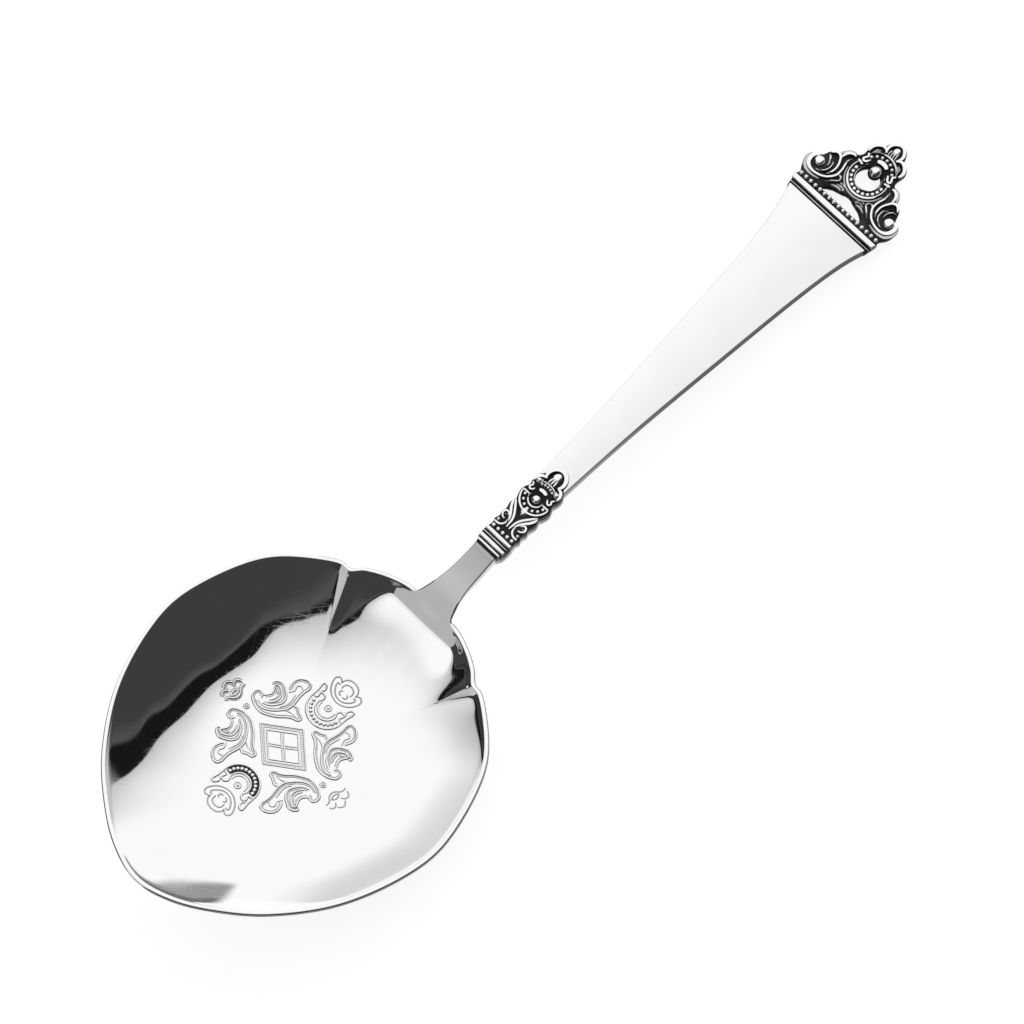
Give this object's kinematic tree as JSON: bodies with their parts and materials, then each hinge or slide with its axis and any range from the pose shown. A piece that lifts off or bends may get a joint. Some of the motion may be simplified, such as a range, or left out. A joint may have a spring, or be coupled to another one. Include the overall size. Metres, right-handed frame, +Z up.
{
  "type": "tomato server",
  "caption": "Round fluted serving dish on an arched flat handle with a pierced scrolled crest, in one piece of polished silver.",
  "frame": {"origin": "middle of the bounding box, on the table that the piece rests on", "axes": "+X from the dish to the handle's crest, +Z up from the table, +Y to the left seen from the dish's tip"},
  "size_m": [0.2004, 0.0672, 0.0209],
  "materials": {
    "polished_silver": "polished, with blackened recesses in the ornament"
  },
  "bodies": {
    "root": {"tomato_server": "polished_silver"}
  },
  "joints": []
}
